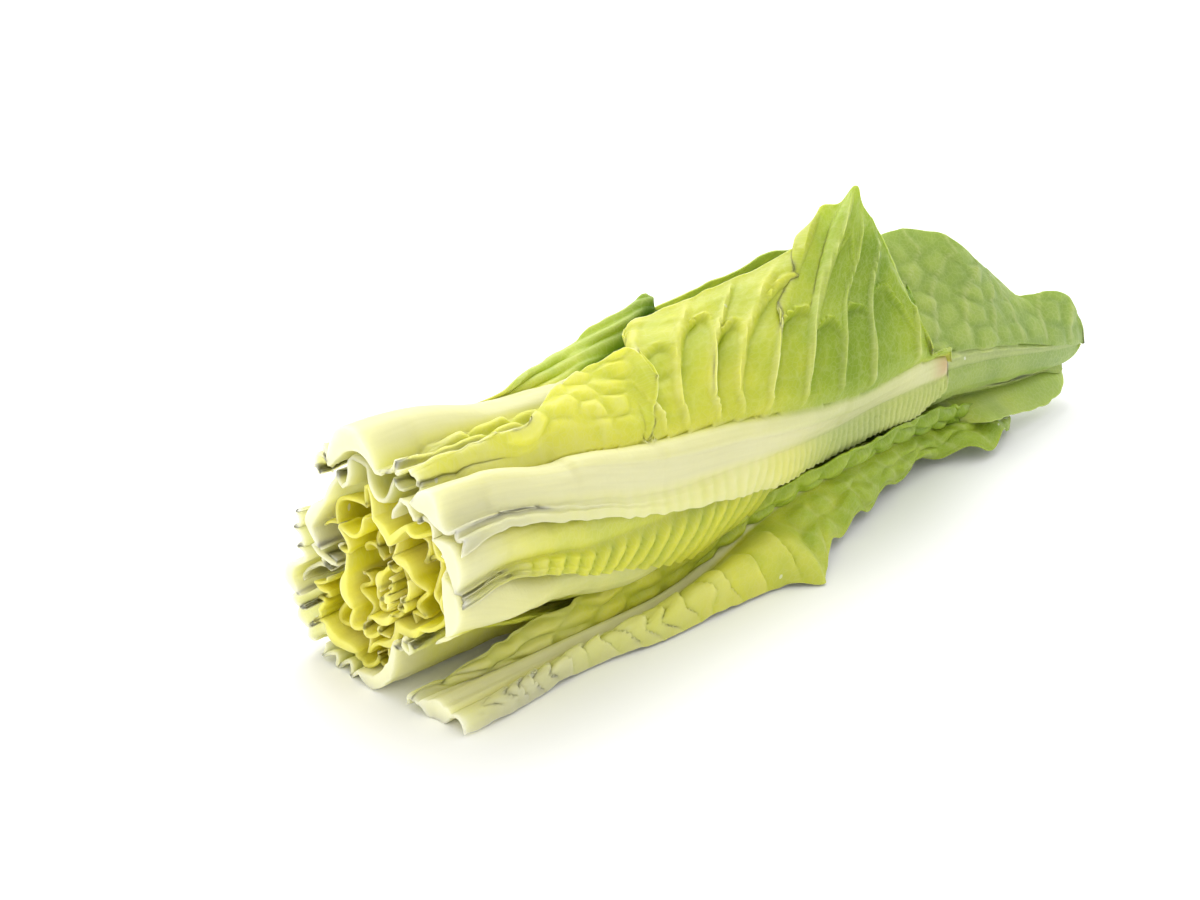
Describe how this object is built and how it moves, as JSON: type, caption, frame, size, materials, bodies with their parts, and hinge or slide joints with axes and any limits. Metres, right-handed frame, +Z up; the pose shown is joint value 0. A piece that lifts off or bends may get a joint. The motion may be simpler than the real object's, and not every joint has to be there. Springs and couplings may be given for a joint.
{
  "type": "romaine heart",
  "caption": "Heart of romaine lettuce lying on its side: long ribbed leaves nested round a curled yellow bud, cut flat at one end, with one leaf slipped out below.",
  "frame": {"origin": "on the surface that the heart lies on, under the middle of its bounding box", "axes": "+Y from the cut face to the leaf tips, +Z up from the surface, +X to the side where a leaf has slipped out"},
  "size_m": [0.0725, 0.2562, 0.0806],
  "materials": {
    "yellow_leaf": "moist, waxy",
    "yellow_green_leaf": "moist, waxy",
    "light_green_leaf": "moist, waxy",
    "green_leaf": "moist, waxy"
  },
  "bodies": {
    "root": {"bud_leaf": "yellow_leaf", "heart_leaf_1": "yellow_leaf", "heart_leaf_2": "yellow_leaf", "heart_leaf_3": "yellow_leaf", "heart_leaf_4": "yellow_green_leaf", "heart_leaf_5": "yellow_green_leaf", "heart_leaf_6": "yellow_green_leaf", "heart_leaf_7": "yellow_green_leaf", "tip_leaf": "light_green_leaf", "back_leaf": "green_leaf", "side_leaf": "light_green_leaf", "under_leaf": "light_green_leaf", "left_leaf": "green_leaf", "top_leaf": "yellow_green_leaf", "front_leaf": "light_green_leaf", "floor_leaf": "light_green_leaf"}
  },
  "joints": []
}
